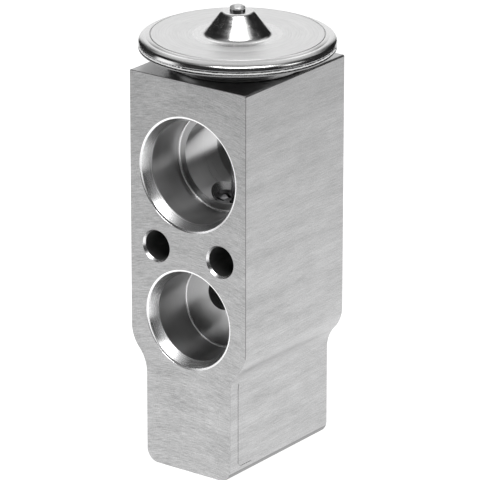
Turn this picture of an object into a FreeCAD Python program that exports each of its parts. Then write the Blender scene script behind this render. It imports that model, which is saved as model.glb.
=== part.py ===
import FreeCAD, Part
import math
import os

# Block-type refrigerant expansion valve, in millimetres.
# The frame stands on the block's bottom face: +Z up the valve axis, front face towards -Y.

# Valve block, sawn from extruded aluminium bar whose profile is the front outline
block_width = 26.0
block_depth = 30.0
block_height = 75.0
neck_width = 19.2
neck_height = 17.4
shoulder_angle = 42.0
shoulder_radius = 6.5
foot_radius = 2.5
edge_break = 0.2

# Tube ports, each with a tapered lead-in at its mouth
lead_in_width = 1.3
lead_in_depth = 2.1
return_height = 57.5
return_bore_radius = 8.1
return_socket_radius = 9.6
return_front_depth = 10.0
return_rear_depth = 10.2
return_bore_chamfer = 0.3
outlet_height = 29.7
outlet_socket_radius = 8.25
outlet_depth = 10.1
outlet_hole_radius = 3.0
outlet_hole_rise = 2.0
inlet_height = 17.0
inlet_socket_radius = 6.5
inlet_hole_radius = 2.4
inlet_web = 2.0

# Through holes for the clamping bolts, and the tapped hole for the pipe plate
mounting_height = 42.5
mounting_spacing = 14.4
mounting_radius = 2.75
mounting_chamfer_width = 0.35
mounting_chamfer_depth = 0.5
fixing_height = 36.0
fixing_radius = 2.5
fixing_depth = 9.5
fixing_chamfer = 0.6

# Clearances
running_clearance = 0.05
seating_clearance = 0.02
ring_clearance = 0.03

# Rod, its seal and its damping spring, in a stepped pocket in the floor of the return bore
rod_radius = 1.2
rod_tip_chamfer = 0.3
retainer_step = 0.39
retainer_pocket_depth = 2.9
pocket_chamfer = 0.4
seal_section = 2.25
seal_pocket_depth = 2.4
washer_thickness = 0.4
damping_spring_height = 1.0
damping_strip = 0.15
damping_nose_width = 0.7
damping_folds = 3
damping_fold_half_angle = 30.0
retainer_thickness = 0.35
retainer_rise = 0.4
retainer_teeth = 8
retainer_slot_width = 0.7
retainer_slot_length = 1.3
rod_passage_clearance = 0.35

# Metering valve
seat_web = 1.25
seat_radius = 1.9
seat_length = 2.3
gallery_radius = 2.6
ball_radius = 2.5
valve_lift = 0.8
closed_gap = 0.05
chamber_radius = 5.5

# Ball carrier, damper and valve spring
carrier_radius = 4.4
carrier_flange_thickness = 1.0
carrier_boss_radius = 3.2
carrier_cup_depth = 2.2
carrier_spigot_radius = 2.6
carrier_spigot_length = 1.6
damper_thickness = 0.2
damper_legs = 4
damper_leg_width = 1.6
damper_leg_length = 2.2
damper_wall_gap = 0.15
spring_wire_radius = 0.55
spring_radius = 3.45
spring_open_turns = 3
spring_closed_gap = 0.03

# Adjusting screw in the bottom of the block
screw_bore_radius = 6.2
screw_bore_depth = 10.5
screw_mouth_chamfer = 0.5
screw_recess = 1.4
screw_travel = 1.0
screw_stop_gap = 0.5
screw_edge_chamfer = 0.4
screw_cup_radius = 4.3
screw_cup_depth = 1.8
screw_groove_height = 1.7
screw_groove_depth = 1.4
screw_groove_wall = 0.6
hex_width = 5.0
hex_depth = 2.4

# Power head: threaded lower housing, diaphragm and pressed cover, welded together at the rim
head_thread_radius = 9.0
socket_roof = 1.9
neck_end_gap = 0.4
vent_radius = 4.3
head_seal_space = 2.0
head_seal_radius = 0.85
head_seal_depth = 1.75
housing_shoulder_radius = 12.4
housing_shoulder_height = 1.2
housing_bore_radius = 6.05
housing_cavity_radius = 11.0
housing_dish_radius = 15.0
housing_dish_height = 1.4
flange_underside_radius = 15.6
flange_thickness = 1.0
flange_rise = 2.8
rim_radius = 18.0
rim_corner = 0.45
rim_step = 0.1
diaphragm_thickness = 0.15
diaphragm_flat_radius = 10.4
diaphragm_wave_height = 0.25
cover_thickness = 1.0
cover_rise = 0.45
lid_border = 2.2
lid_groove_depth = 0.12
lid_groove_width = 0.3
rim_border = 0.78
lid_slope_drop = 0.5
slope_groove_depth = 0.08
slope_groove_width = 0.24
rim_drop = 0.82
rim_lean = 0.12
rim_round = 0.3

# Charging cone in the middle of the cover, closed by a welded plug
cone_height = 4.3
cone_base_radius = 6.1
cone_top_radius = 2.9
cone_base_fillet = 3.0
cone_top_fillet = 0.5
cone_roof_thickness = 1.2
plug_radius = 1.4
plug_height = 0.8
plug_crown = 0.42
plug_round = 0.3
plug_depth = 1.5

# Stopper plate under the diaphragm
stopper_radius = 9.8
stopper_thickness = 1.1
stopper_gap = 0.05
stopper_stop_gap = 0.25
stopper_hub_length = 7.0
stopper_hub_wall = 1.4
stopper_grooves = 3
stopper_groove_radius = 0.9
rod_socket_depth = 1.7
rod_socket_roof = 0.9

# Heights that follow from the sizes above
half_depth = block_depth / 2
seat_height = outlet_height - outlet_socket_radius - seat_web
inlet_depth = half_depth - chamber_radius - inlet_web
return_floor = return_height - return_bore_radius
retainer_floor = return_floor - retainer_pocket_depth
seal_floor = retainer_floor - seal_pocket_depth
seal_pocket_radius = rod_radius + ring_clearance + seal_section + ring_clearance
retainer_pocket_radius = seal_pocket_radius + retainer_step
outlet_hole_height = outlet_height + outlet_hole_rise
gallery_top = outlet_hole_height + outlet_hole_radius
head_floor = return_height + return_socket_radius + socket_roof

seat_drop = math.sqrt(ball_radius ** 2 - seat_radius ** 2)
ball_height = seat_height - seat_drop - closed_gap
rod_bottom = ball_height + ball_radius + seating_clearance
cup_apex = ball_height - ball_radius * math.sqrt(2) - seating_clearance
carrier_top = cup_apex + carrier_cup_depth
carrier_shelf = cup_apex + carrier_flange_thickness
spring_top = cup_apex - seating_clearance

screw_top = screw_bore_depth - screw_travel - screw_stop_gap
screw_bottom = screw_recess
screw_radius = screw_bore_radius - running_clearance
spring_bottom = screw_top - screw_cup_depth

lid_radius = rim_radius - lid_border
lid_slope_radius = rim_radius - rim_border
flange_bottom = block_height + flange_rise
flange_top = flange_bottom + flange_thickness
cover_bottom = flange_top + diaphragm_thickness
cover_ceiling = cover_bottom + cover_rise
lid_height = cover_ceiling + cover_thickness
cone_top = lid_height + cone_height
stopper_top = flange_top - stopper_gap
stopper_bottom = stopper_top - stopper_thickness
housing_floor = stopper_bottom - valve_lift - stopper_stop_gap
rod_top = stopper_top - rod_socket_roof


def corner_arc(before, corner, after, radius):
    """The tangent arc that rounds one corner, kept within half of each side."""
    towards_before = (before - corner).normalize()
    towards_after = (after - corner).normalize()
    half_angle = towards_before.getAngle(towards_after) / 2
    room = 0.5 * min((before - corner).Length, (after - corner).Length)
    reach = min(radius / math.tan(half_angle), room)
    radius = reach * math.tan(half_angle)
    inward = (towards_before + towards_after).normalize()
    middle = corner + inward * (radius / math.sin(half_angle) - radius)
    return corner + towards_before * reach, middle, corner + towards_after * reach


def outline(corners):
    """A closed face in the X-Z plane. A corner is (x, z), or (x, z, radius) to round it."""
    points = [FreeCAD.Vector(corner[0], 0, corner[1]) for corner in corners]
    stretches = []
    for index, corner in enumerate(corners):
        here = points[index]
        if len(corner) == 3:
            after = points[(index + 1) % len(points)]
            stretches.append(corner_arc(points[index - 1], here, after, corner[2]))
        else:
            stretches.append((here,))
    edges = []
    for index, stretch in enumerate(stretches):
        if len(stretch) == 3:
            edges.append(Part.Arc(*stretch).toShape())
        start = stretch[-1]
        end = stretches[(index + 1) % len(stretches)][0]
        if start.distanceToPoint(end) > 1e-6:
            edges.append(Part.LineSegment(start, end).toShape())
    return Part.Face(Part.Wire(edges))


def turned(corners):
    """A solid turned about the Z axis from its half section, given as (radius, height) corners."""
    origin = FreeCAD.Vector(0, 0, 0)
    upwards = FreeCAD.Vector(0, 0, 1)
    solid = outline(corners).revolve(origin, upwards, 360)
    return Part.Solid(solid.Shells[0])


def disc_edge(inner_radius, outer_radius, bottom, top, rounding):
    """A ring whose section has rounded corners, such as a seal."""
    return turned([
        (inner_radius, bottom, rounding), (outer_radius, bottom, rounding),
        (outer_radius, top, rounding), (inner_radius, top, rounding),
    ])


def facing(shape, height, side, sideways=0.0):
    """Lays a turned shape along Y, with its z = 0 on the front face (-1) or the rear face (+1)."""
    placed = shape.copy()
    placed.rotate(FreeCAD.Vector(0, 0, 0), FreeCAD.Vector(1, 0, 0), -90 * side)
    placed.translate(FreeCAD.Vector(sideways, side * half_depth, height))
    return placed


def port_cutter(socket_radius, depth, floor_radius=0.0, floor_chamfer=0.0):
    """The space of one tube port, with its lead-in and a chamfer where its floor meets a bore."""
    mouth_radius = socket_radius + lead_in_width
    corners = [(0, -depth), (socket_radius, -depth)]
    if floor_chamfer:
        chamfer_start = (floor_radius, -depth - floor_chamfer)
        corners = [(0, chamfer_start[1]), chamfer_start, (floor_radius + floor_chamfer, -depth),
                   (socket_radius, -depth)]
    corners += [(socket_radius, -lead_in_depth), (mouth_radius, 0), (mouth_radius, 1), (0, 1)]
    return turned(corners)


def cross_hole(radius, height, start, end):
    """A drilled hole along Y."""
    bottom_centre = FreeCAD.Vector(0, start, height)
    return Part.makeCylinder(radius, end - start, bottom_centre, FreeCAD.Vector(0, 1, 0))


def block_blank():
    """The extruded bar: straight sides, an S-shaped shoulder on each side and a narrower foot."""
    half_width = block_width / 2
    half_neck = neck_width / 2
    slope = math.radians(shoulder_angle)
    lower_bend = neck_height + shoulder_radius * math.tan(slope / 2)
    upper_bend = lower_bend + (half_width - half_neck) / math.tan(slope)
    right_side = [
        (half_neck, 0, foot_radius), (half_neck, lower_bend, shoulder_radius),
        (half_width, upper_bend, shoulder_radius), (half_width, block_height),
    ]
    left_side = [(-corner[0],) + corner[1:] for corner in reversed(right_side)]
    face = outline(right_side + left_side)
    face.translate(FreeCAD.Vector(0, -half_depth, 0))
    blank = face.extrude(FreeCAD.Vector(0, block_depth, 0))
    milled_edges = [
        edge for edge in blank.Edges
        if all(abs(abs(vertex.Y) - half_depth) < 1e-6 for vertex in edge.Vertexes)
        and abs(edge.Vertexes[0].Y - edge.Vertexes[-1].Y) < 1e-6
    ]
    return blank.makeChamfer(edge_break, milled_edges)


def valve_axis_cutter():
    """The bore stack from below: screw bore, spring chamber, seat, gallery and rod guide."""
    guide_radius = rod_radius + running_clearance
    mouth_radius = screw_bore_radius + screw_mouth_chamfer
    drill_point = gallery_radius - guide_radius
    return turned([
        (0, -1), (mouth_radius, -1), (mouth_radius, 0), (screw_bore_radius, screw_mouth_chamfer),
        (screw_bore_radius, screw_bore_depth), (chamber_radius, screw_bore_depth),
        (chamber_radius, seat_height), (seat_radius, seat_height),
        (seat_radius, seat_height + seat_length), (gallery_radius, seat_height + seat_length),
        (gallery_radius, gallery_top), (guide_radius, gallery_top + drill_point),
        (guide_radius, seal_floor + 1), (0, seal_floor + 1),
    ])


def seal_pocket_cutter():
    """The stepped pocket for the rod seal, open to the return bore above it."""
    return turned([
        (0, seal_floor), (seal_pocket_radius, seal_floor), (seal_pocket_radius, retainer_floor),
        (retainer_pocket_radius, retainer_floor), (retainer_pocket_radius, return_height),
        (0, return_height),
    ])


def head_hole_cutter():
    """The threaded hole for the power head, its seal recess and the vent to the return bore."""
    seal_recess_radius = head_thread_radius + head_seal_space
    return turned([
        (0, return_height), (vent_radius, return_height), (vent_radius, head_floor),
        (head_thread_radius, head_floor), (head_thread_radius, block_height - head_seal_depth),
        (seal_recess_radius, block_height - head_seal_depth), (seal_recess_radius, block_height + 1),
        (0, block_height + 1),
    ])


def mounting_hole_cutter():
    """One through hole with a chamfer at each face."""
    wide = mounting_radius + mounting_chamfer_width
    return turned([
        (0, 1), (wide, 1), (wide, 0), (mounting_radius, -mounting_chamfer_depth),
        (mounting_radius, mounting_chamfer_depth - block_depth), (wide, -block_depth),
        (wide, -block_depth - 1), (0, -block_depth - 1),
    ])


def fixing_hole_cutter():
    """The blind tapped hole for the pipe plate, with a drill point and a countersunk mouth."""
    wide = fixing_radius + fixing_chamfer
    drill_point = fixing_radius * math.tan(math.radians(31))
    return turned([
        (0, -fixing_depth - drill_point), (fixing_radius, -fixing_depth),
        (fixing_radius, -fixing_chamfer), (wide, 0), (wide, 1), (0, 1),
    ])


def make_valve_body():
    """The block with every port, bore, pocket and hole cut into it."""
    bored = block_blank().cut(cross_hole(return_bore_radius, return_height, -half_depth, half_depth))
    bored = bored.cut(seal_pocket_cutter())
    pocket_edges = [
        edge for edge in bored.Edges
        if abs(math.hypot(edge.CenterOfMass.x, edge.CenterOfMass.y)) < 1e-3
        and return_floor - 0.1 < edge.CenterOfMass.z < return_height
        and abs(edge.BoundBox.XLength - 2 * retainer_pocket_radius) < 1e-3
    ]
    bored = bored.makeChamfer(pocket_chamfer, pocket_edges)
    rear_return = port_cutter(
        return_socket_radius, return_rear_depth, return_bore_radius, return_bore_chamfer)
    cutters = [
        facing(port_cutter(return_socket_radius, return_front_depth), return_height, -1),
        facing(rear_return, return_height, 1),
        facing(port_cutter(outlet_socket_radius, outlet_depth), outlet_height, -1),
        facing(port_cutter(inlet_socket_radius, inlet_depth), inlet_height, 1),
        cross_hole(outlet_hole_radius, outlet_hole_height, outlet_depth - half_depth - 1, 0),
        cross_hole(inlet_hole_radius, inlet_height, 0, half_depth - inlet_depth + 1),
        facing(fixing_hole_cutter(), fixing_height, 1),
        valve_axis_cutter(),
        head_hole_cutter(),
    ]
    for sideways in (-mounting_spacing / 2, mounting_spacing / 2):
        cutters.append(facing(mounting_hole_cutter(), mounting_height, 1, sideways))
    for cutter in cutters:
        bored = bored.cut(cutter)
    return bored


def make_head_lower_housing():
    """The turned lower half of the head: threaded neck, shoulder, dish and welded flange."""
    neck_bottom = head_floor + neck_end_gap
    neck_radius = head_thread_radius - running_clearance
    shoulder_top = block_height + housing_shoulder_height
    edge_radius = rim_radius - rim_step
    return turned([
        (housing_bore_radius, neck_bottom, 0.4), (neck_radius, neck_bottom, 0.6),
        (neck_radius, block_height), (housing_shoulder_radius, block_height, 0.3),
        (housing_shoulder_radius, shoulder_top, 1.0), (flange_underside_radius, flange_bottom, 0.8),
        (edge_radius, flange_bottom, rim_corner), (edge_radius, flange_top),
        (housing_dish_radius, flange_top, 0.6),
        (housing_cavity_radius, flange_top - housing_dish_height, 0.4),
        (housing_cavity_radius, housing_floor, 0.4), (housing_bore_radius, housing_floor, 0.3),
    ])


def make_pressure_diaphragm():
    """Thin steel disc with two rounded corrugations between its flat middle and clamped edge."""
    wave_span = (housing_dish_radius - diaphragm_flat_radius) / 5
    low = flange_top
    high = flange_top + diaphragm_wave_height
    waves = []
    for step in range(6):
        radius = diaphragm_flat_radius + step * wave_span
        waves.append((radius, high if step in (1, 2, 4) else low))
    underside = [(radius, height, 0.5) for radius, height in waves]
    topside = [(radius, height + diaphragm_thickness, 0.5) for radius, height in reversed(waves)]
    edge = rim_radius - rim_step
    return turned(
        [(0, low)] + underside + [(edge, low), (edge, low + diaphragm_thickness)] + topside
        + [(0, low + diaphragm_thickness)])


def make_head_upper_cover():
    """Pressed cover: flat lid with a coined groove, sloping rim and the hollow charging cone."""
    plug_hole_radius = plug_radius + seating_clearance
    flank = (cone_base_radius - cone_top_radius) / cone_height
    wall_run = cover_thickness * math.hypot(1, flank)
    cone_ceiling = cone_top - cone_roof_thickness
    inner_base_radius = cone_base_radius + flank * cover_thickness - wall_run
    inner_top_radius = cone_top_radius + flank * cone_roof_thickness - wall_run
    groove_half = lid_groove_width / 2
    slope_bottom = lid_height - lid_slope_drop
    slope_groove_half = slope_groove_width / 2
    joggle_radius = housing_dish_radius - cover_rise
    return turned([
        (plug_hole_radius, cone_ceiling), (plug_hole_radius, cone_top),
        (cone_top_radius, cone_top, cone_top_fillet), (cone_base_radius, lid_height, cone_base_fillet),
        (lid_radius - groove_half, lid_height), (lid_radius, lid_height - lid_groove_depth),
        (lid_radius + groove_half, lid_height, 0.3),
        (lid_slope_radius - slope_groove_half, slope_bottom + slope_groove_depth),
        (lid_slope_radius, slope_bottom - slope_groove_depth),
        (lid_slope_radius + slope_groove_half, slope_bottom - slope_groove_depth / 2),
        (rim_radius - rim_lean, lid_height - rim_drop, rim_round), (rim_radius, cover_bottom),
        (housing_dish_radius, cover_bottom, 0.3), (joggle_radius, cover_ceiling, 0.3),
        (inner_base_radius, cover_ceiling, cone_base_fillet - cover_thickness),
        (inner_top_radius, cone_ceiling, 0.3),
    ])


def make_charge_plug():
    """Steel plug resistance-welded into the top of the cone."""
    bottom = cone_top - plug_depth
    edge_height = cone_top + plug_height
    crown_height = edge_height + plug_crown
    return turned([
        (0, bottom), (plug_radius, bottom, 0.3), (plug_radius, edge_height, plug_round),
        (plug_radius / 2, crown_height, 1.2), (0, crown_height),
    ])


def make_diaphragm_stopper():
    """Disc that carries the diaphragm, with a grooved hub that slides in the housing's bore."""
    hub_radius = housing_bore_radius - running_clearance
    hub_bottom = stopper_bottom - stopper_hub_length
    hollow_radius = hub_radius - stopper_hub_wall
    socket_floor = rod_top + seating_clearance
    socket_mouth = rod_top - rod_socket_depth
    socket_radius = rod_radius + seating_clearance
    stopper = turned([
        (0, stopper_top), (0, socket_floor), (socket_radius, socket_floor),
        (socket_radius, socket_mouth), (hollow_radius, socket_mouth, 0.5),
        (hollow_radius, hub_bottom), (hub_radius, hub_bottom, 0.3), (hub_radius, stopper_bottom),
        (stopper_radius, stopper_bottom, 0.3), (stopper_radius, stopper_top, 0.4),
    ])
    for index in range(stopper_grooves):
        angle = 2 * math.pi * index / stopper_grooves
        foot = FreeCAD.Vector(hub_radius * math.cos(angle), hub_radius * math.sin(angle), hub_bottom - 1)
        stopper = stopper.cut(Part.makeCylinder(stopper_groove_radius, stopper_hub_length + 1, foot))
    return stopper


def make_sensing_rod():
    """Thin rod from the stopper, across the return bore, down to the ball."""
    reduced = rod_radius - rod_tip_chamfer
    return turned([
        (0, rod_bottom), (reduced, rod_bottom), (rod_radius, rod_bottom + rod_tip_chamfer),
        (rod_radius, rod_top - rod_tip_chamfer), (reduced, rod_top), (0, rod_top),
    ])


def make_rod_seal_ring():
    """Rubber ring round the rod, in the lower step of its pocket."""
    inner = rod_radius + ring_clearance
    top = retainer_floor - ring_clearance
    return disc_edge(inner, inner + seal_section, seal_floor, top, 0.95)


def make_rod_seal_washer():
    """Flat washer over the seal, on the step of the pocket."""
    inner = rod_radius + ring_clearance * 4
    outer = retainer_pocket_radius - seating_clearance
    return disc_edge(inner, outer, retainer_floor, retainer_floor + washer_thickness, 0.1)


def make_rod_damping_spring():
    """Ring of spring strip in the pocket, with folds that rest on the rod and quieten it."""
    outer = retainer_pocket_radius - running_clearance
    inner = outer - damping_strip
    bottom = retainer_floor + washer_thickness
    ring = disc_edge(inner, outer, bottom, bottom + damping_spring_height, 0.05)
    half_angle = math.radians(damping_fold_half_angle)
    foot_reach = inner * math.cos(half_angle) + damping_strip / 2
    foot_side = inner * math.sin(half_angle)
    nose_reach = rod_radius + seating_clearance
    nose_side = damping_nose_width / 2
    strip = damping_strip / math.cos(half_angle / 2)
    fold_face = outline([
        (foot_reach, foot_side), (nose_reach, nose_side, 0.2), (nose_reach, -nose_side, 0.2),
        (foot_reach, -foot_side), (foot_reach, strip - foot_side),
        (nose_reach + damping_strip, strip / 2 - nose_side, 0.1),
        (nose_reach + damping_strip, nose_side - strip / 2, 0.1), (foot_reach, foot_side - strip),
    ])
    fold = fold_face.extrude(FreeCAD.Vector(0, damping_spring_height, 0))
    fold.rotate(FreeCAD.Vector(0, 0, 0), FreeCAD.Vector(1, 0, 0), 90)
    fold.translate(FreeCAD.Vector(0, 0, bottom))
    for index in range(damping_folds):
        placed = fold.copy()
        placed.rotate(FreeCAD.Vector(0, 0, 0), FreeCAD.Vector(0, 0, 1), 360 * index / damping_folds)
        ring = ring.fuse(placed)
    return ring.removeSplitter()


def make_seal_retainer():
    """Dished spring-steel ring whose outer teeth bite into the pocket's wall."""
    inner = rod_radius + rod_passage_clearance
    outer = retainer_pocket_radius - seating_clearance
    bottom = retainer_floor + washer_thickness + damping_spring_height + seating_clearance
    bend = (inner + outer) / 2
    ring = turned([
        (inner, bottom), (bend, bottom, 0.3), (outer, bottom + retainer_rise),
        (outer, bottom + retainer_rise + retainer_thickness),
        (bend, bottom + retainer_thickness, 0.3), (inner, bottom + retainer_thickness),
    ])
    slot = Part.makeBox(
        retainer_slot_length + 1, retainer_slot_width, retainer_rise + retainer_thickness + 2,
        FreeCAD.Vector(outer - retainer_slot_length, -retainer_slot_width / 2, bottom - 1))
    for index in range(retainer_teeth):
        turned_slot = slot.copy()
        turned_slot.rotate(
            FreeCAD.Vector(0, 0, 0), FreeCAD.Vector(0, 0, 1), 360 * (index + 0.5) / retainer_teeth)
        ring = ring.cut(turned_slot)
    return ring


def make_valve_ball():
    """Hard steel ball that closes the seat from below."""
    return Part.makeSphere(ball_radius, FreeCAD.Vector(0, 0, ball_height))


def make_ball_carrier():
    """Turned carrier with a conical cup for the ball and a spigot inside the spring."""
    spigot_bottom = cup_apex - carrier_spigot_length
    return turned([
        (0, spigot_bottom), (carrier_spigot_radius, spigot_bottom, 0.4),
        (carrier_spigot_radius, cup_apex), (carrier_radius, cup_apex),
        (carrier_radius, carrier_shelf), (carrier_boss_radius, carrier_shelf),
        (carrier_boss_radius, carrier_top, 0.2), (carrier_cup_depth, carrier_top), (0, cup_apex),
    ])


def make_damper_spring():
    """Spring-steel washer on the carrier, with legs that rub on the chamber's wall."""
    bottom = carrier_shelf
    top = bottom + damper_thickness
    ring_inner = carrier_boss_radius + seating_clearance
    bend = carrier_radius + 0.1
    ring = disc_edge(ring_inner, bend, bottom, top, 0.05)
    reach = chamber_radius - damper_wall_gap
    leg_outer = math.sqrt(reach ** 2 - (damper_leg_width / 2) ** 2)
    low = bottom - damper_leg_length
    leg_face = outline([
        (ring_inner + 0.2, bottom), (bend, bottom, 0.1), (leg_outer - damper_thickness, low + 0.6, 0.3),
        (leg_outer - 2 * damper_thickness, low), (leg_outer - damper_thickness, low - 0.1),
        (leg_outer, low + 0.6, 0.4), (bend + damper_thickness, top, 0.2), (ring_inner + 0.2, top),
    ])
    leg_face.translate(FreeCAD.Vector(0, -damper_leg_width / 2, 0))
    leg = leg_face.extrude(FreeCAD.Vector(0, damper_leg_width, 0))
    for index in range(damper_legs):
        placed = leg.copy()
        placed.rotate(FreeCAD.Vector(0, 0, 0), FreeCAD.Vector(0, 0, 1), 360 * (index + 0.5) / damper_legs)
        ring = ring.fuse(placed)
    return ring.removeSplitter()


def make_valve_spring():
    """Coil spring with closed, ground ends, wound in half turns that meet level on either side."""
    origin = FreeCAD.Vector(0, 0, 0)
    upwards = FreeCAD.Vector(0, 0, 1)
    floor = spring_bottom + seating_clearance
    length = spring_top - seating_clearance - floor
    closed_rise = spring_wire_radius + spring_closed_gap
    open_rise = (length - 4 * closed_rise) / (2 * spring_open_turns)
    rises = [closed_rise] * 2 + [open_rise] * (2 * spring_open_turns) + [closed_rise] * 2
    half_turns = []
    height = floor
    for index, rise in enumerate(rises):
        reach = math.hypot(spring_radius, rise / 2)
        half_turn = Part.makeTorus(reach, spring_wire_radius, origin, upwards, 0, 360, 180)
        half_turn.rotate(origin, FreeCAD.Vector(0, 1, 0), math.degrees(math.asin(rise / 2 / reach)))
        half_turn.rotate(origin, upwards, 180 * index)
        half_turn.translate(FreeCAD.Vector(0, 0, height + rise / 2))
        half_turns.append(half_turn)
        height += rise
    coil = half_turns[0].fuse(half_turns[1:])
    width = 4 * spring_radius
    between_ends = Part.makeBox(width, width, length, FreeCAD.Vector(-width / 2, -width / 2, floor))
    return coil.common(between_ends)


def make_adjusting_screw():
    """Threaded plug that carries the spring, sealed by a ring and turned with a hexagon key."""
    inner_radius = screw_radius - screw_groove_depth
    groove_top = spring_bottom - screw_groove_wall
    groove_bottom = groove_top - screw_groove_height
    screw = turned([
        (0, screw_bottom), (screw_radius, screw_bottom, screw_edge_chamfer),
        (screw_radius, groove_bottom), (inner_radius, groove_bottom), (inner_radius, groove_top),
        (screw_radius, groove_top), (screw_radius, screw_top, screw_edge_chamfer),
        (screw_cup_radius, screw_top), (screw_cup_radius, spring_bottom), (0, spring_bottom),
    ])
    corner_radius = hex_width / 2 / math.cos(math.pi / 6)
    corners = [
        FreeCAD.Vector(corner_radius * math.cos(math.pi * index / 3),
                       corner_radius * math.sin(math.pi * index / 3), screw_bottom - 1)
        for index in range(7)
    ]
    socket = Part.Face(Part.makePolygon(corners)).extrude(FreeCAD.Vector(0, 0, hex_depth + 1))
    return screw.cut(socket)


def make_screw_seal_ring():
    """Rubber ring in the screw's groove."""
    groove_top = spring_bottom - screw_groove_wall
    inner = screw_radius - screw_groove_depth + ring_clearance
    outer = screw_bore_radius - ring_clearance
    top = groove_top - ring_clearance
    bottom = groove_top - screw_groove_height + ring_clearance
    return disc_edge(inner, outer, bottom, top, 0.65)


def make_head_seal_ring():
    """Rubber ring between the block and the head."""
    middle_radius = head_thread_radius + head_seal_space / 2
    height = block_height - head_seal_depth / 2
    return Part.makeTorus(middle_radius, head_seal_radius, FreeCAD.Vector(0, 0, height))


pieces = {
    "valve_body": make_valve_body,
    "head_lower_housing": make_head_lower_housing,
    "pressure_diaphragm": make_pressure_diaphragm,
    "head_upper_cover": make_head_upper_cover,
    "charge_plug": make_charge_plug,
    "diaphragm_stopper": make_diaphragm_stopper,
    "head_seal_ring": make_head_seal_ring,
    "sensing_rod": make_sensing_rod,
    "rod_seal_ring": make_rod_seal_ring,
    "rod_seal_washer": make_rod_seal_washer,
    "rod_damping_spring": make_rod_damping_spring,
    "seal_retainer": make_seal_retainer,
    "valve_ball": make_valve_ball,
    "ball_carrier": make_ball_carrier,
    "damper_spring": make_damper_spring,
    "valve_spring": make_valve_spring,
    "adjusting_screw": make_adjusting_screw,
    "screw_seal_ring": make_screw_seal_ring,
}

os.makedirs("parts", exist_ok=True)
for name, make in pieces.items():
    shape = make()
    shape.exportStep("parts/" + name + ".step")
    print(name, "solids", len(shape.Solids), "valid", shape.isValid(), "volume", round(shape.Volume, 2))
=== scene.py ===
import math

import bmesh
import bpy
from mathutils import Matrix, Vector, noise


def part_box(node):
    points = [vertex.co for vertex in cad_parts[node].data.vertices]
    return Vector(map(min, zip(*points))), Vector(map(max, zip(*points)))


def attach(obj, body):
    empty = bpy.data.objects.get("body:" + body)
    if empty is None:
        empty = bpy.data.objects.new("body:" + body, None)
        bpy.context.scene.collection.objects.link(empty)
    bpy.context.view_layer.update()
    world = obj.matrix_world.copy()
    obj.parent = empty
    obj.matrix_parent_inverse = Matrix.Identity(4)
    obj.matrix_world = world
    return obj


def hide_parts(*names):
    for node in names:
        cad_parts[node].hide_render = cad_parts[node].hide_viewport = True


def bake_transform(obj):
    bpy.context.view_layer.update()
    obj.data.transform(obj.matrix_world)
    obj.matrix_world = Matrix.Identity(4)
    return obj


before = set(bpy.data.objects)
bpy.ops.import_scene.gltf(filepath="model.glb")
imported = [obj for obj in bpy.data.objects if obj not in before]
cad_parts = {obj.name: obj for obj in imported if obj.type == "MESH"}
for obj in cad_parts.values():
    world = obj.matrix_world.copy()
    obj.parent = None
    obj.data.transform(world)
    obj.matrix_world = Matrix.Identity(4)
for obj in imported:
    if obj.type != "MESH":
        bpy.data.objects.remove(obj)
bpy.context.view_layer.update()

# Valve block: sawn from extruded aluminium bar whose profile is the front outline, then milled
# flat on the front and rear. Ports, bolt holes and the bores on the valve axis are cut into it.
# Sizes are in millimetres here, as on a drawing, and become metres when a mesh is made.
MM = 0.001
block_half_width = 13.0
block_half_depth = 15.0
block_height = 75.0
neck_half_width = 9.6
shoulder_start = 17.4
shoulder_slope = math.radians(42.0)
shoulder_round = 6.5
foot_round = 2.5
top_edge_round = 0.32
milled_edge_break = 0.09
outlet_height = 29.7
outlet_hole_height = 31.7
inlet_height = 17.0
plate_thread_height = 36.0
bolt_hole_height = 42.5
bolt_hole_reach = 7.2
return_height = 57.5
return_radius = 9.6
return_bore_radius = 8.1
outlet_radius = 8.25
inlet_radius = 6.5
bolt_hole_radius = 2.75


def shader_group(name, numbers, gives, vectors=()):
    """An empty shader node group with named inputs and one named output."""
    group = bpy.data.node_groups.new(name, "ShaderNodeTree")
    for label in vectors:
        group.interface.new_socket(label, in_out="INPUT", socket_type="NodeSocketVector")
    for label, usual in numbers.items():
        socket = group.interface.new_socket(label, in_out="INPUT", socket_type="NodeSocketFloat")
        socket.default_value = usual
    group.interface.new_socket(gives, in_out="OUTPUT", socket_type="NodeSocketFloat")
    inputs = group.nodes.new("NodeGroupInput").outputs
    return group, inputs, group.nodes.new("NodeGroupOutput").inputs[gives]


def put(tree, kind, sockets=None, **settings):
    """Adds a shader node. Sockets take a number, a colour or another node's output."""
    node = tree.nodes.new("ShaderNode" + kind)
    for setting, value in settings.items():
        setattr(node, setting, value)
    for label, value in (sockets or {}).items():
        if isinstance(value, bpy.types.NodeSocket):
            tree.links.new(value, node.inputs[label])
        else:
            node.inputs[label].default_value = value
    return node


def sums(tree, operation, first, second=0.0, third=0.0):
    """The output of a Math node."""
    return put(tree, "Math", {0: first, 1: second, 2: third}, operation=operation).outputs[0]


def point(tree, x, y, z):
    """The output of a Combine XYZ node."""
    return put(tree, "CombineXYZ", {"X": x, "Y": y, "Z": z}).outputs[0]


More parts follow.
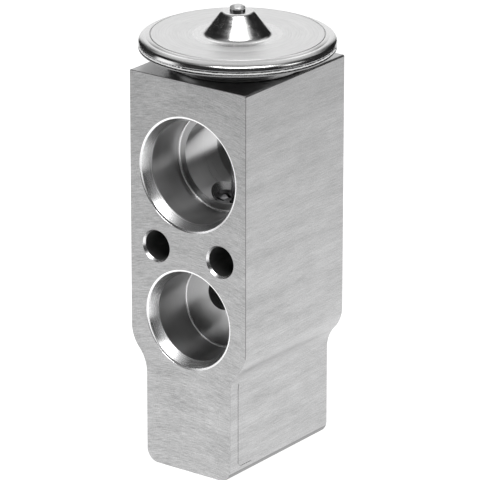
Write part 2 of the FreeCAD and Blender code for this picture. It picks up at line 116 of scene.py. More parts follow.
# Fine parallel tool lines: streaks that run long one way and stand close together the other way,
# with a slower drift of tone from one pass of the tool to the next, and a little grain.
tool_lines, given, result = shader_group(
    "tool_lines", {"Streak Length": 4.0, "Line Pitch": 0.25, "Drift Pitch": 3.0, "Drift Share": 0.4,
                   "Grain Size": 0.25, "Grain Share": 0.3, "Contrast": 2.5},
    vectors=("Position",), gives="Lines")
apart = put(tool_lines, "SeparateXYZ", {0: given["Position"]}).outputs
streak = point(tool_lines, sums(tool_lines, "DIVIDE", apart["X"], given["Streak Length"]),
               sums(tool_lines, "DIVIDE", apart["Y"], given["Line Pitch"]), apart["Z"])
pass_length = sums(tool_lines, "MULTIPLY", given["Streak Length"], 6.0)
drift = point(tool_lines, sums(tool_lines, "DIVIDE", apart["X"], pass_length),
              sums(tool_lines, "DIVIDE", apart["Y"], given["Drift Pitch"]), apart["Z"])
fine = put(tool_lines, "TexNoise", {"Vector": streak, "Scale": 1.0, "Detail": 3.0,
                                    "Roughness": 0.65})
slow = put(tool_lines, "TexNoise", {"Vector": drift, "Scale": 1.0, "Detail": 2.0,
                                    "Roughness": 0.5})
mixed = put(tool_lines, "Mix", {0: given["Drift Share"], 2: fine.outputs[0], 3: slow.outputs[0]})
speckle = put(tool_lines, "VectorMath", {0: given["Position"]}, operation="SCALE")
tool_lines.links.new(sums(tool_lines, "DIVIDE", 1.0, given["Grain Size"]), speckle.inputs["Scale"])
grain = put(tool_lines, "TexNoise", {"Vector": speckle.outputs[0], "Scale": 1.0, "Detail": 1.0})
grainy = put(tool_lines, "Mix", {0: given["Grain Share"], 2: mixed.outputs[0], 3: grain.outputs[0]})
swing = sums(tool_lines, "SUBTRACT", grainy.outputs[0], 0.5)
tool_lines.links.new(sums(tool_lines, "MULTIPLY_ADD", swing, given["Contrast"], 0.5), result)

# Soft cloudy unevenness of a handled metal surface, as a mask from 0 to 1.
clouding, given, result = shader_group(
    "clouding", {"Size": 6.0, "Contrast": 2.0}, vectors=("Position",), gives="Clouds")
spread = put(clouding, "VectorMath", {0: given["Position"]}, operation="SCALE")
clouding.links.new(sums(clouding, "DIVIDE", 1.0, given["Size"]), spread.inputs["Scale"])
cloud = put(clouding, "TexNoise", {"Vector": spread.outputs[0], "Scale": 1.0, "Detail": 3.0})
lifted = sums(clouding, "SUBTRACT", cloud.outputs[0], 0.5)
masked = put(clouding, "Math", {0: lifted, 1: given["Contrast"], 2: 0.5}, operation="MULTIPLY_ADD",
             use_clamp=True)
clouding.links.new(masked.outputs[0], result)


def new_material(name):
    """A material with its node tree, its shader and the place on the piece in millimetres."""
    material = bpy.data.materials.new(name)
    material.use_nodes = True
    tree = material.node_tree
    place = put(tree, "TexCoord").outputs["Object"]
    in_mm = put(tree, "VectorMath", {0: place, 1: (1 / MM,) * 3}, operation="MULTIPLY")
    return material, tree, tree.nodes["Principled BSDF"], in_mm.outputs[0]


def metal(name, colour, roughness, lay, pitch, length=4.0, drift=3.0, drift_share=0.4, tone=0.1,
          rough_swing=0.06, bump=0.1, bump_depth=0.01, grain=0.0, groove=None, stretch=0.0):
    """A bare metal. lay says how its tool lines run, and tone how far they change its brightness.

    groove gives the direction of its turning lines, which stretch its highlights across them.
    """
    material, tree, shader, in_mm = new_material(name)
    shader.inputs["Metallic"].default_value = 1.0
    apart = put(tree, "SeparateXYZ", {0: in_mm}).outputs
    lines = put(tree, "Group", node_tree=tool_lines)
    tree.links.new(lay(tree, apart), lines.inputs["Position"])
    for label, value in (("Streak Length", length), ("Line Pitch", pitch), ("Drift Pitch", drift),
                         ("Drift Share", drift_share), ("Grain Share", grain)):
        lines.inputs[label].default_value = value
    clouds = put(tree, "Group", node_tree=clouding)
    tree.links.new(in_mm, clouds.inputs["Position"])
    swing = sums(tree, "SUBTRACT", lines.outputs["Lines"], 0.5)
    cloud_swing = sums(tree, "SUBTRACT", clouds.outputs["Clouds"], 0.5)
    both = sums(tree, "MULTIPLY_ADD", cloud_swing, 0.15, swing)
    brightness = sums(tree, "MULTIPLY_ADD", both, tone * 2, 1.0)
    base = put(tree, "VectorMath", {0: colour}, operation="SCALE")
    tree.links.new(brightness, base.inputs["Scale"])
    tree.links.new(base.outputs[0], shader.inputs["Base Color"])
    rough = put(tree, "Math", {0: both, 1: rough_swing * 2, 2: roughness}, operation="MULTIPLY_ADD",
                use_clamp=True)
    tree.links.new(rough.outputs[0], shader.inputs["Roughness"])
    ridges = put(tree, "Bump", {"Strength": bump, "Distance": bump_depth * MM,
                                "Height": lines.outputs["Lines"]})
    tree.links.new(ridges.outputs[0], shader.inputs["Normal"])
    if groove:
        tree.links.new(groove(tree, apart), shader.inputs["Tangent"])
        shader.inputs["Anisotropic"].default_value = stretch
        shader.inputs["Anisotropic Rotation"].default_value = 0.25
    return material


def milled_arcs(tree, apart):
    """The curved path of a face mill that is much wider than the block and is fed upwards."""
    mill_radius = 47.17
    bow = sums(tree, "MULTIPLY", apart["X"], apart["X"])
    height = sums(tree, "MULTIPLY_ADD", bow, 0.5 / mill_radius, apart["Z"])
    return point(tree, apart["X"], height, apart["Y"])


def along_depth(tree, apart):
    """Die lines of the extruded bar, which run from front to rear and differ from side to side."""
    sideways = sums(tree, "MULTIPLY", apart["X"], 0.3)
    return point(tree, apart["Y"], sums(tree, "ADD", apart["Z"], sideways), 0.0)


def sawn_across(tree, apart):
    """Fine saw lines across the bar's cut ends."""
    return point(tree, apart["X"], apart["Y"], 0.0)


def distance(tree, first, second):
    """How far a point is from an axis, from its distance along two sides of a right angle."""
    square = sums(tree, "MULTIPLY", second, second)
    return sums(tree, "SQRT", sums(tree, "MULTIPLY_ADD", first, first, square))


def rise_from_port(tree, apart):
    """Height above the axis of the port that the point lies in."""
    between_ports = 43.0
    front = sums(tree, "LESS_THAN", apart["Y"], 0.0)
    lower_axis = sums(tree, "MULTIPLY_ADD", front, outlet_height - inlet_height, inlet_height)
    upper = sums(tree, "GREATER_THAN", apart["Z"], between_ports)
    lift = sums(tree, "MULTIPLY", sums(tree, "SUBTRACT", return_height, lower_axis), upper)
    return sums(tree, "SUBTRACT", apart["Z"], sums(tree, "ADD", lower_axis, lift))


def turned_about_port(tree, apart):
    """Turning lines of the ports: rings about the axis of the port that the point lies in."""
    radius = distance(tree, rise_from_port(tree, apart), apart["X"])
    return point(tree, 0.0, sums(tree, "ADD", radius, apart["Y"]), 0.0)


def round_port(tree, apart):
    """The direction of a turning line at a point of a port, at right angles to its radius."""
    sideways = sums(tree, "MULTIPLY", rise_from_port(tree, apart), -1.0)
    line = point(tree, sideways, 0.0, apart["X"])
    return put(tree, "VectorMath", {0: line}, operation="NORMALIZE").outputs[0]


def turned_about_axis(tree, apart):
    """Turning lines round the valve axis, by distance from the axis and by height."""
    radius = distance(tree, apart["Y"], apart["X"])
    turn = sums(tree, "ARCTAN2", apart["Y"], apart["X"])
    return point(tree, turn, sums(tree, "ADD", radius, apart["Z"]), 0.0)


milled_face = metal("milled_face", (0.455, 0.455, 0.457), 0.38, milled_arcs, 0.2, length=2.0,
                    drift=2.0, drift_share=0.25, tone=0.5, rough_swing=0.08, bump=0.4, grain=0.25)
extruded_side = metal("extruded_side", (0.48, 0.48, 0.482), 0.38, along_depth, 0.24, length=3.2,
                      drift=2.0, tone=0.36, bump=0.35, grain=0.35)
sawn_end = metal("sawn_end", (0.5, 0.5, 0.502), 0.3, sawn_across, 0.3, length=8.0, tone=0.08,
                 bump_depth=0.004)
turned_bore = metal("turned_bore", (0.72, 0.72, 0.722), 0.3, turned_about_port, 0.2, length=400.0,
                    drift=1.5, drift_share=0.3, tone=0.05, rough_swing=0.04, bump_depth=0.003,
                    groove=round_port, stretch=0.8)
# Socket walls: the turned bore metal with a darker base colour, which is painted shade inside the
# sockets.
shaded_socket_wall = metal("shaded_socket_wall", (0.46, 0.46, 0.462), 0.3, turned_about_port, 0.2, length=400.0,
                    drift=1.5, drift_share=0.3, tone=0.08, rough_swing=0.04, bump_depth=0.003,
                    groove=round_port, stretch=0.8)
polished_lead_in = metal("polished_lead_in", (0.96, 0.96, 0.965), 0.27, turned_about_port, 0.15,
                         length=400.0, tone=0.05, rough_swing=0.03, bump=0.05, bump_depth=0.002,
                         groove=round_port, stretch=0.3)
# Dark finish for the broken and top edges, and painted contact shadow on the rounding along the
# block's foot.
dark_edge_and_contact_shadow = metal("dark_edge_and_contact_shadow", (0.28, 0.28, 0.282), 0.45, along_depth, 0.3)
# Drilled holes: rough metal with a dark base colour that is painted shade inside the holes.
shaded_drilled_hole = metal("shaded_drilled_hole", (0.3, 0.3, 0.3), 0.5, turned_about_port, 0.3)
axis_bore = metal("axis_bore", (0.80, 0.80, 0.802), 0.24, turned_about_axis, 0.2, length=60.0,
                  tone=0.08, rough_swing=0.04, bump=0.2, bump_depth=0.006)
bright_lip = metal("bright_lip", (0.95, 0.95, 0.955), 0.22, turned_about_port, 0.15,
                   length=400.0, tone=0.02, bump=0.0)
block_finishes = (milled_face, extruded_side, sawn_end, turned_bore, shaded_socket_wall,
                  polished_lead_in, dark_edge_and_contact_shadow, shaded_drilled_hole, axis_bore, bright_lip)
MILLED, EXTRUDED, SAWN, BORED, SHADED_SOCKET, LEAD_IN, DARK_EDGE_AND_CONTACT_SHADOW, SHADED_DRILLED, ON_AXIS, LIP = range(10)


def rounded_path(corners, arc_step):
    """Points along a closed outline of (x, z) corners. A third number rounds that corner."""
    path = []
    for index, corner in enumerate(corners):
        here = Vector(corner[:2])
        if len(corner) == 2:
            path.append(here)
            continue
        back = Vector(corners[index - 1][:2]) - here
        ahead = Vector(corners[(index + 1) % len(corners)][:2]) - here
        room = 0.499 * min(back.length, ahead.length)
        back.normalize()
        ahead.normalize()
        half_angle = back.angle(ahead) / 2
        reach = min(corner[2] / math.tan(half_angle), room)
        radius = reach * math.tan(half_angle)
        centre = here + (back + ahead).normalized() * (radius / math.sin(half_angle))
        start = here + back * reach - centre
        end = here + ahead * reach - centre
        swing = start.angle(end)
        steps = max(2, math.ceil(math.degrees(swing) / arc_step))
        for step in range(steps + 1):
            share = step / steps
            before = math.sin((1 - share) * swing) / math.sin(swing)
            after = math.sin(share * swing) / math.sin(swing)
            path.append(centre + start * before + end * after)
    return path


def band(mesh, near, far):
    """The faces between two closed rings of points, where a ring may be a single point."""
    around = max(len(near), len(far))
    faces = []
    for index in range(around if around > 1 else 0):
        corners = []
        for ring, place in ((near, index), (near, index + 1), (far, index + 1), (far, index)):
            corner = ring[place % len(ring)]
            if corner not in corners:
                corners.append(corner)
        faces.append(mesh.faces.new(corners))
    return faces


def finished(mesh, name, finishes):
    """The object that a mesh becomes, with its finishes in slot order."""
    bmesh.ops.recalc_face_normals(mesh, faces=mesh.faces)
    data = bpy.data.meshes.new(name)
    mesh.to_mesh(data)
    mesh.free()
    for finish in finishes:
        data.materials.append(finish)
    piece = bpy.data.objects.new(name, data)
    bpy.context.collection.objects.link(piece)
    return piece


# The bar's profile is stretched from front to rear, with its milled edges broken. The broken
# edges show dark from the lower port upwards, and so do the top and bottom edges of the sides;
# the dark along the bottom edges is a painted contact shadow.
lower_bend = shoulder_start + shoulder_round * math.tan(shoulder_slope / 2)
upper_bend = lower_bend + (block_half_width - neck_half_width) / math.tan(shoulder_slope)
right_side = [(neck_half_width, 0, foot_round), (neck_half_width, lower_bend, shoulder_round),
              (block_half_width, upper_bend, shoulder_round),
              (block_half_width, block_height, top_edge_round)]
left_side = [(-corner[0],) + corner[1:] for corner in reversed(right_side)]
bar_profile = rounded_path(right_side + left_side, 3.0)
broken_profile = []
for index, here in enumerate(bar_profile):
    before = (here - bar_profile[index - 1]).normalized()
    after = (bar_profile[(index + 1) % len(bar_profile)] - here).normalized()
    tangent = (before + after).normalized()
    inward = Vector((-tangent.y, tangent.x))
    broken_profile.append(here + inward * milled_edge_break / max(0.5, before.dot(tangent)))
mesh = bmesh.new()
sections = []
for depth, profile in ((-block_half_depth, broken_profile),
                       (-block_half_depth + milled_edge_break, bar_profile),
                       (block_half_depth - milled_edge_break, bar_profile),
                       (block_half_depth, broken_profile)):
    sections.append([mesh.verts.new((p.x * MM, depth * MM, p.y * MM)) for p in profile])
dark_break_start = 25.0
foot_edge_top = 1.75
top_edge_bottom = block_height - top_edge_round - 0.01
for number, (near, far) in enumerate(zip(sections, sections[1:])):
    for index, face in enumerate(band(mesh, near, far)):
        height = face.calc_center_median().z / MM
        run = bar_profile[(index + 1) % len(bar_profile)] - bar_profile[index]
        level = abs(run.y) < 1e-4
        upright = abs(run.x) < 1e-4
        if number != 1:
            face.material_index = DARK_EDGE_AND_CONTACT_SHADOW if height > dark_break_start else EXTRUDED
        else:
            face.material_index = SAWN if level else EXTRUDED
        # The foot's rounding is painted dark as the contact shadow where the block meets the floor.
        if not level and not foot_edge_top < height < top_edge_bottom:
            face.material_index = DARK_EDGE_AND_CONTACT_SHADOW
        face.smooth = not (level or upright)
mesh.faces.new(sections[0]).material_index = MILLED
mesh.faces.new(list(reversed(sections[-1]))).material_index = MILLED
valve_block = finished(mesh, "valve_block", block_finishes)


def turned_piece(name, corners, finishes, around, slot_of=None, arc_step=7.5):
    """A closed mesh turned about the Z axis from its half section of (radius, height) corners."""
    path = rounded_path(corners, arc_step)
    mesh = bmesh.new()
    rings = []
    for radius, height in path:
        if radius < 1e-6:
            rings.append([mesh.verts.new((0, 0, height * MM))])
            continue
        ring = []
        for index in range(around):
            angle = 2 * math.pi * index / around
            ring.append(mesh.verts.new((radius * math.cos(angle) * MM,
                                        radius * math.sin(angle) * MM, height * MM)))
        rings.append(ring)
    for number, ring in enumerate(rings):
        following = (number + 1) % len(rings)
        middle = (path[number] + path[following]) / 2
        slot = slot_of(middle.x, middle.y) if slot_of else 0
        for face in band(mesh, ring, rings[following]):
            face.material_index = slot
            face.smooth = True
    piece = finished(mesh, name, finishes)
    piece.data.set_sharp_from_angle(angle=math.radians(28))
    return piece


def port_tool(name, corners, height, side, sideways=0.0, around=192, wall=BORED, zones=()):
    """A turned cutting tool laid along Y, with its height 0 on the front (-1) or rear (+1) face.

    zones lists what leaves the wall's finish, as (least radius, least depth, most depth, slot).
    """
    def slot_of(radius, height):
        for least_radius, least_depth, most_depth, slot in zones:
            if radius > least_radius and least_depth < -height < most_depth:
                return slot
        return wall
    tool = turned_piece(name, corners, block_finishes, around, slot_of)
    place = Vector((sideways * MM, side * block_half_depth * MM, height * MM))
    laid = Matrix.Rotation(math.radians(-90 * side), 4, "X")
    tool.data.transform(Matrix.Translation(place) @ laid)
    return tool


def from_rear(corners):
    """A half section measured from the block's rear face instead of its front face."""
    return [(corner[0], -2 * block_half_depth - corner[1], *corner[2:])
            for corner in reversed(corners)]


def mouth(radius):
    """Half section of a port's mouth: the spot-faced land and the tapered lead-in."""
    return [(0, 1), (radius + 1.3, 1), (radius + 1.3, -0.12), (radius + 0.95, -0.2, 0.05),
            (radius, -2.1, 0.12)]


def mouth_zones(radius):
    """The bright lip and the polished lead-in of a port's mouth."""
    return [(radius + 0.01, -1, 0.19, LIP), (radius + 0.01, 0.19, 2.2, LEAD_IN)]


def saddle_chamfer():
    """A three-sided ring that breaks the edge where the seal pocket opens into the return bore."""
    pocket_radius, chamfer_radius, chamfer_drop = 3.9, 4.8, 0.8
    past_edge, clear, around = 0.3, 0.4, 193

    def bore_floor(across):
        return return_height - math.sqrt(return_bore_radius ** 2 - across ** 2)

    mesh = bmesh.new()
    sections = []
    for index in range(around):
        angle = 2 * math.pi * index / around
        outward = Vector((math.cos(angle), math.sin(angle)))
        low = Vector((pocket_radius, bore_floor(pocket_radius * outward.x) - chamfer_drop))
        high = Vector((chamfer_radius, bore_floor(chamfer_radius * outward.x)))
        lean = (high - low).normalized() * past_edge
        corners = (low - lean, high + lean, Vector((low.x - clear, high.y + clear)))
        sections.append([mesh.verts.new((outward.x * c.x * MM, outward.y * c.x * MM, c.y * MM))
                         for c in corners])
    for index, section in enumerate(sections):
        for face in band(mesh, section, sections[(index + 1) % around]):
            face.material_index = ON_AXIS
            face.smooth = True
    return finished(mesh, "saddle_chamfer", block_finishes)


def scribed_line(side):
    """A cutting tool for the shallow line on a side of the neck, which turns along the foot."""
    depth, half, upright, foot, top, end = 0.07, 0.08, -12.72, 2.6, 18.9, -8.8
    path = rounded_path([(upright - half, top), (upright - half, foot - half, 1.0),
                         (end, foot - half), (end, foot + half),
                         (upright + half, foot + half, 0.85), (upright + half, top)], 10.0)
    mesh = bmesh.new()
    rings = [[mesh.verts.new((side * reach * MM, p.x * MM, p.y * MM)) for p in path]
             for reach in (neck_half_width - depth, neck_half_width + 0.5)]
    for ring in rings:
        mesh.faces.new(ring)
    band(mesh, *rings)
    for face in mesh.faces:
        face.material_index = EXTRUDED
    return finished(mesh, "scribed_line", block_finishes)


# Front and rear sockets of the return port, with the bore between them and its broken rear edge.
return_section = mouth(return_radius) + [
    (return_radius, -10.0, 0.35), (return_bore_radius, -10.0), (return_bore_radius, -19.5),
    (return_bore_radius + 0.3, -19.8), (return_radius, -19.8, 0.15)]
return_zones = mouth_zones(return_radius) + [
    (9.24, 9.64, 10.1, LEAD_IN), (9.5, 2.1, 9.7, SHADED_SOCKET), (8.11, 19.4, 19.79, LIP),
    (9.61, 27.8, 29.81, LEAD_IN), (9.61, 29.81, 31, LIP), (9.5, 19.8, 27.9, SHADED_SOCKET)]
outlet_section = mouth(outlet_radius) + [(outlet_radius, -10.1, 0.3), (0, -10.1)]
outlet_zones = mouth_zones(outlet_radius) + [
    (7.94, 9.79, 10.2, LEAD_IN), (8.15, 2.1, 9.8, SHADED_SOCKET)]
inlet_section = mouth(inlet_radius) + [(inlet_radius, -7.5, 0.15), (0, -7.5)]
inlet_zones = mouth_zones(inlet_radius) + [(6.4, 2.1, 7.3, SHADED_SOCKET)]
bolt_hole_wide = bolt_hole_radius + 0.35
bolt_hole_mouth = [(0, 1), (bolt_hole_wide, 1), (bolt_hole_wide, 0, 0.12),
                   (bolt_hole_radius, -0.5, 0.12)]
bolt_hole_zones = [(bolt_hole_radius + 0.01, -1, 0.6, LEAD_IN),
                   (bolt_hole_radius + 0.01, 29.4, 31, LEAD_IN)]
# From the bottom up: screw bore, spring chamber, inlet bore, seat and rod guide, seal pocket,
# throat above the return bore, thread of the power head and recess of its seal.
axis_section = [
    (0, -1), (6.7, -1), (6.7, 0), (6.2, 0.5), (6.2, 10.5), (5.5, 10.5), (5.5, 20.2), (1.9, 20.2),
    (1.9, 22.5), (2.6, 22.5), (2.6, 34.7), (1.25, 36.05), (1.25, 44.1), (3.51, 44.1), (3.51, 46.5),
    (3.9, 46.5), (3.9, 57.5), (4.3, 57.5), (4.3, 69.0), (9.0, 69.0), (9.0, 73.25), (11.0, 73.25),
    (11.0, 76.0), (0, 76.0)]
tools = [
    port_tool("return_port", return_section + from_rear(mouth(return_radius)), return_height, -1,
              zones=return_zones),
    port_tool("outlet_front", outlet_section, outlet_height, -1, zones=outlet_zones),
    port_tool("inlet_rear", inlet_section, inlet_height, 1, zones=inlet_zones),
    port_tool("outlet_hole", [(0, -9.0), (3.0, -9.0), (3.0, -15.5), (0, -15.5)],
              outlet_hole_height, -1, around=97, wall=SHADED_DRILLED),
    port_tool("inlet_hole", [(0, -7.0), (2.4, -7.0), (2.4, -15.5), (0, -15.5)],
              inlet_height, 1, around=97, wall=SHADED_DRILLED),
    port_tool("plate_thread", [(0, -11.0), (2.5, -9.5), (2.5, -0.6), (3.1, 0, 0.1), (3.1, 1),
                               (0, 1)], plate_thread_height, 1, around=97)]
bolt_hole_section = bolt_hole_mouth + from_rear(bolt_hole_mouth)
for name, sideways in (("left_bolt_hole", -bolt_hole_reach), ("right_bolt_hole", bolt_hole_reach)):
    tools.append(port_tool(name, bolt_hole_section, bolt_hole_height, -1, sideways, around=128,
                           wall=SHADED_DRILLED, zones=bolt_hole_zones))
tools += [turned_piece("axis_bores", axis_section, block_finishes, around=144,
                       slot_of=lambda radius, height: ON_AXIS),
          saddle_chamfer(), scribed_line(1), scribed_line(-1)]
for tool in tools:
    cut = valve_block.modifiers.new(tool.name, "BOOLEAN")
    cut.operation = "DIFFERENCE"
    cut.solver = "MANIFOLD"
    cut.object = tool
bpy.context.view_layer.update()
cut_block = valve_block.evaluated_get(bpy.context.evaluated_depsgraph_get())
machined = bpy.data.meshes.new_from_object(cut_block)
valve_block.modifiers.clear()
valve_block.data = machined
machined.name = "valve_block"
for tool in tools:
    bpy.data.objects.remove(tool, do_unlink=True)
machined.set_sharp_from_angle(angle=math.radians(20))
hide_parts("valve_body")
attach(valve_block, "valve_housing")

# Hidden pieces on the valve axis: they keep their CAD solids and get their real finishes.
# Screw of turned brass, rubber rings, ground rod and spring steel.
turned_brass = metal("turned_brass", (0.62, 0.45, 0.20), 0.28, turned_about_axis, 0.14,
                     length=60.0, tone=0.06, bump=0.2, bump_depth=0.006)
ground_steel = metal("ground_steel", (0.52, 0.52, 0.53), 0.22, turned_about_axis, 0.1, length=60.0,
                     tone=0.05, bump=0.15, bump_depth=0.004)
spring_steel = metal("spring_steel", (0.40, 0.40, 0.41), 0.3, turned_about_axis, 0.5, length=2.0,
                     tone=0.08, bump_depth=0.006)


def rubber(name, colour):
    """Moulded rubber or plastic with a faint grain."""
    material, tree, shader, in_mm = new_material(name)
    clouds = put(tree, "Group", node_tree=clouding)
    tree.links.new(in_mm, clouds.inputs["Position"])
    clouds.inputs["Size"].default_value = 0.4
    shade = put(tree, "Mix", {0: clouds.outputs["Clouds"], 6: (*colour, 1),
                              7: (*(share * 1.5 for share in colour), 1)}, data_type="RGBA")
    tree.links.new(shade.outputs[2], shader.inputs["Base Color"])
    rough = sums(tree, "MULTIPLY_ADD", clouds.outputs["Clouds"], 0.2, 0.45)
    tree.links.new(rough, shader.inputs["Roughness"])
    grain = put(tree, "Bump", {"Strength": 0.2, "Distance": 0.02 * MM,
                               "Height": clouds.outputs["Clouds"]})
    tree.links.new(grain.outputs[0], shader.inputs["Normal"])
    return material


seal_rubber = rubber("seal_rubber", (0.02, 0.02, 0.021))
washer_plastic = rubber("washer_plastic", (0.5, 0.49, 0.46))
hidden_finish = {
    "adjusting_screw": turned_brass, "screw_seal_ring": seal_rubber, "valve_spring": spring_steel,
    "ball_carrier": ground_steel, "damper_spring": spring_steel, "valve_ball": ground_steel,
    "sensing_rod": ground_steel, "rod_seal_ring": seal_rubber, "rod_seal_washer": washer_plastic,
    "rod_damping_spring": spring_steel, "seal_retainer": spring_steel,
    "head_seal_ring": seal_rubber, "diaphragm_stopper": ground_steel,
    "pressure_diaphragm": ground_steel}
for node, finish in hidden_finish.items():
    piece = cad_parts[node]
    piece.data.materials.clear()
    piece.data.materials.append(finish)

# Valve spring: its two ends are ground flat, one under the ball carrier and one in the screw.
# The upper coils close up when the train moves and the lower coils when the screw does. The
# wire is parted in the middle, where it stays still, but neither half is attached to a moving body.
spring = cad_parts["valve_spring"]
spring_low, spring_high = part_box("valve_spring")
spring_middle = (spring_low[2] + spring_high[2]) / 2
for name, body, end in (("upper_coils", "valve_train", spring_high[2]),
                        ("lower_coils", "screw_ring", spring_low[2])):
    coils = bpy.data.objects.new(name, spring.data.copy())
    coils.data.transform(spring.matrix_world)
    bpy.context.collection.objects.link(coils)
    mesh = bmesh.new()
    mesh.from_mesh(coils.data)
    bmesh.ops.remove_doubles(mesh, verts=mesh.verts, dist=1e-7)
    parted = bmesh.ops.bisect_plane(
        mesh, geom=mesh.verts[:] + mesh.edges[:] + mesh.faces[:], plane_co=(0, 0, spring_middle),
        plane_no=(0, 0, end - spring_middle), clear_inner=True)
    bmesh.ops.holes_fill(mesh, edges=[part for part in parted["geom_cut"]
                                      if isinstance(part, bmesh.types.BMEdge)])
    mesh.to_mesh(coils.data)
    mesh.free()
    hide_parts("valve_spring")
    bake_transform(coils)

# Lower housing of the power head: turned from stainless steel, screwed into the block by its neck.
# Its flange is the lower half of the welded rim, with a small groove under the weld.
# The housing's dark base colour is painted shade under the rim; the charge plug's side uses the
# same dark steel.
housing_steel = metal("housing_steel", (0.3, 0.3, 0.302), 0.25, turned_about_axis, 0.16,
                      length=40.0, tone=0.05, bump=0.15, bump_depth=0.006)
lower_housing = turned_piece("lower_housing", [
    (6.05, 69.4, 0.4), (8.95, 69.4, 0.6), (8.95, 75.0), (12.4, 75.0, 0.3), (12.4, 76.2, 1.0),
    (15.6, 77.8, 0.8), (17.9, 77.8, 0.2), (17.9, 78.1, 0.08), (17.6, 78.16), (17.6, 78.8),
    (15.0, 78.8, 0.6), (11.0, 77.4, 0.4), (11.0, 76.6, 0.4), (6.05, 76.6, 0.3)],
    (housing_steel,), around=256)
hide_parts("head_lower_housing")
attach(lower_housing, "valve_housing")

# Upper cover: pressed from stainless sheet in one piece with the charging cone. A coined groove,
# a sloping border and a rounded shoulder run round its edge, and faint forming rings round the
# cone. The lid is satin, and the cone, its foot and the border are polished.
lid = 80.4
cone_top = 84.7
satin_lid = metal("satin_lid", (0.84, 0.84, 0.84), 0.45, turned_about_axis, 0.3, length=1.5,
                  drift=2.0, tone=0.12, rough_swing=0.04, bump_depth=0.006, grain=0.4)
polished_steel = metal("polished_steel", (0.80, 0.80, 0.80), 0.2, turned_about_axis, 0.12,
                       length=0.5, tone=0.12, rough_swing=0.12, bump=0.25, bump_depth=0.006,
                       grain=0.4)
cover_section = [
    (1.42, 83.5), (1.42, cone_top), (2.9, cone_top, 1.0), (6.1, lid, 2.0), (7.8, lid), (8.0, 80.38),
    (8.2, lid), (10.8, lid), (11.0, 80.375), (11.2, lid), (15.66, lid), (15.8, 80.3),
    (15.94, lid, 0.3), (16.53, 80.19), (16.6, 80.155), (16.67, 80.14), (17.15, 79.97),
    (17.8, 79.63, 1.6), (18.0, 78.95), (15.0, 78.95, 0.3), (14.55, 79.4, 0.3), (5.6, 79.4, 2.0),
    (2.55, 83.5, 0.3)]


def cover_slot(radius, height):
    """Slot 0, the satin lid, between the cone's foot and the coined groove, and 1 elsewhere."""
    return 0 if height < lid + 0.2 and 9.4 < radius < 15.9 else 1


upper_cover = turned_piece("upper_cover", cover_section, (satin_lid, polished_steel), around=320,
                           slot_of=cover_slot, arc_step=6.0)
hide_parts("head_upper_cover")
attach(upper_cover, "valve_housing")

# Charge plug: a short steel pin welded into the top of the cone once the head is filled.
# Its crown is left bright and uneven by the welding electrode; its side below the shoulder takes
# the dark housing steel as painted shade.
plug_shoulder = 85.15
crown_start = 85.4
dent_depth = 0.07
dents_per_metre = 1400
plug_steel = metal("plug_steel", (0.86, 0.86, 0.86), 0.5, turned_about_axis, 0.12, length=0.3,
                   tone=0.3, rough_swing=0.1, bump=0.2, bump_depth=0.006)
charge_plug = turned_piece("weld_plug", [
    (0, 83.2), (1.4, 83.2, 0.3), (1.4, plug_shoulder), (1.4, 85.48, 0.4), (0.7, 85.88, 1.2),
    (0, 85.88)], (plug_steel, housing_steel), around=96,
    slot_of=lambda radius, height: int(height < plug_shoulder), arc_step=5.0)
for vertex in charge_plug.data.vertices:
    if vertex.co.z > crown_start * MM:
        vertex.co.z -= dent_depth * MM * (0.5 + noise.noise(vertex.co * dents_per_metre))
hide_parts("charge_plug")
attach(charge_plug, "valve_housing")

# Weld band: the bead that joins cover, diaphragm and housing round the rim. It is lumpy,
# with small pits and a mottled tone.
weld_root = 17.6
weld_reach = 17.98
lumps_per_radian = 40
lump_height = 0.07
pit_depth = 0.1
weld_steel = metal("weld_steel", (0.64, 0.64, 0.64), 0.28, turned_about_axis, 0.6, length=0.02,
                   tone=0.3, rough_swing=0.15, bump=0.3, bump_depth=0.02)
weld_band = turned_piece("weld_band", [
    (17.5, 78.2), (17.84, 78.2, 0.2), (17.92, 78.55, 0.2), (17.84, 78.97, 0.2), (17.5, 78.97)],
    (weld_steel,), around=900)
for vertex in weld_band.data.vertices:
    reach = vertex.co.xy.length
    if reach > weld_root * MM:
        angle = math.atan2(vertex.co.y, vertex.co.x)
        place = Vector((math.cos(angle) * lumps_per_radian, math.sin(angle) * lumps_per_radian,
                        vertex.co.z / MM))
        pit = min(0, noise.noise(place * 0.7) + 0.35) * pit_depth
        lump = noise.noise(place) * lump_height + pit
        vertex.co.xy *= min(weld_reach * MM, reach + lump * MM) / reach
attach(weld_band, "valve_housing")

# Studio: a light table that glows round the part and fades outwards, a dim room with soft panels
# of light behind, beside and above the part, and one soft key box high in front. The camera
# stands at the photograph's angle. Sizes are in metres from here on.
view_turn = math.radians(36.74)
view_rise = math.radians(20.303)
table_outline = [(-0.5, -0.38, 0), (0.5, -0.38, 0), (0.5, 0.6, 0), (-0.5, 0.6, 0)]
floor_mesh = bpy.data.meshes.new("floor")
floor_mesh.from_pydata(table_outline, [], [(0, 1, 2, 3)])
floor = bpy.data.objects.new("floor", floor_mesh)
bpy.context.collection.objects.link(floor)
pale_floor = bpy.data.materials.new("pale_floor")
pale_floor.use_nodes = True
table = pale_floor.node_tree
table_shader = table.nodes["Principled BSDF"].inputs
for label, value in (("Base Color", (0.35, 0.35, 0.35, 1)), ("Roughness", 0.9),
                     ("Specular IOR Level", 0.1), ("Emission Color", (1, 1, 1, 1))):
    table_shader[label].default_value = value
place = put(table, "TexCoord").outputs["Object"]
from_middle = put(table, "VectorMath", {0: place, 1: (-0.10, 0.13, 0)}, operation="DISTANCE")
pool = put(table, "MapRange", {"Value": from_middle.outputs["Value"], "From Min": 0.16,
                               "From Max": 0.65, "To Min": 1.0, "To Max": 0.05},
           interpolation_type="SMOOTHSTEP")
table.links.new(pool.outputs[0], table_shader["Emission Strength"])
floor_mesh.materials.append(pale_floor)

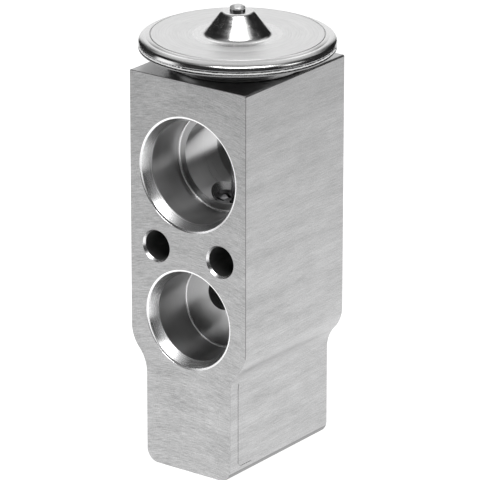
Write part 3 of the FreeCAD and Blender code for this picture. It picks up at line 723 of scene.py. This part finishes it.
room = bpy.data.worlds.new("room")
room.use_nodes = True
bpy.context.scene.world = room
sky = room.node_tree
direction = put(sky, "TexCoord").outputs["Generated"]
ahead = (math.sin(view_turn), -math.cos(view_turn), 0)
sideways = (math.cos(view_turn), math.sin(view_turn), 0)
nearer = put(sky, "VectorMath", {0: direction, 1: ahead}, operation="DOT_PRODUCT")
righter = put(sky, "VectorMath", {0: direction, 1: sideways}, operation="DOT_PRODUCT")
turn = sums(sky, "ARCTAN2", righter.outputs["Value"], nearer.outputs["Value"])
rise = sums(sky, "ARCSINE", put(sky, "SeparateXYZ", {0: direction}).outputs["Z"])

# A soft-edged panel of light, by its turn from the camera's side and its rise above the floor.
panel, given, result = shader_group(
    "panel", {"Turn": 0.0, "Rise": 0.0, "Turn Centre": 0.0, "Rise Centre": 0.0, "Half Width": 0.2,
              "Half Height": 0.2, "Edge": 0.1}, gives="Mask")
shares = []
for angle, centre, half in (("Turn", "Turn Centre", "Half Width"),
                            ("Rise", "Rise Centre", "Half Height")):
    off = sums(panel, "SUBTRACT", given[angle], given[centre])
    off = sums(panel, "ABSOLUTE", sums(panel, "WRAP", off, math.pi, -math.pi))
    outside = sums(panel, "SUBTRACT", off, given[half])
    share = sums(panel, "DIVIDE", outside, given["Edge"])
    fading = put(panel, "MapRange", {"Value": share, "From Min": 0.0, "From Max": 1.0,
                                     "To Min": 1.0, "To Max": 0.0},
                 interpolation_type="SMOOTHSTEP")
    shares.append(fading.outputs[0])
panel.links.new(sums(panel, "MULTIPLY", *shares), result)
glow = put(sky, "MapRange", {"Value": rise, "From Min": math.radians(42),
                             "From Max": math.radians(75), "To Min": 0.018, "To Max": 0.28},
           interpolation_type="SMOOTHSTEP").outputs[0]
for turn_centre, rise_centre, half_width, half_height, edge, strength in (
        (180, 10, 16, 32, 8, 0.9), (270, 8, 10, 8, 8, 1.2), (68, 26, 8, 5, 6, 2.0),
        (45, 53, 20, 6, 8, 0.8), (180, 51, 34, 9, 12, 0.55)):
    mask = put(sky, "Group", {"Turn": turn, "Rise": rise}, node_tree=panel)
    for label, value in (("Turn Centre", turn_centre), ("Rise Centre", rise_centre),
                         ("Half Width", half_width), ("Half Height", half_height), ("Edge", edge)):
        mask.inputs[label].default_value = math.radians(value)
    glow = sums(sky, "MULTIPLY_ADD", mask.outputs["Mask"], strength, glow)
sky.links.new(glow, sky.nodes["Background"].inputs["Strength"])
sky.nodes["Background"].inputs["Color"].default_value = (1, 1, 1, 1)


def place_facing(thing, turn, rise, reach, height):
    """Stands a light or the camera away from the part, looking back at a height on its axis."""
    level = math.cos(rise)
    way = Vector((math.sin(turn) * level, -math.cos(turn) * level, math.sin(rise)))
    thing.location = Vector((0, 0, height)) + way * reach
    thing.rotation_euler = way.to_track_quat("Z", "Y").to_euler()
    bpy.context.collection.objects.link(thing)


key_light = bpy.data.lights.new("key_box", "AREA")
key_light.shape = "RECTANGLE"
key_light.size = 0.42
key_light.size_y = 0.22
key_light.energy = 1.45
place_facing(bpy.data.objects.new("key_box", key_light), view_turn + math.radians(8),
             math.radians(67), reach=0.55, height=0.04)

camera_data = bpy.data.cameras.new("camera")
camera_data.lens = 345.9
camera_data.sensor_width = 36
camera_data.shift_x = 0.00496
camera_data.shift_y = 0.0361
camera_data.clip_start = 0.01
camera = bpy.data.objects.new("camera", camera_data)
place_facing(camera, view_turn, view_rise, reach=0.844, height=0.03745)
bpy.context.scene.camera = camera
bpy.context.scene.view_settings.view_transform = "Standard"
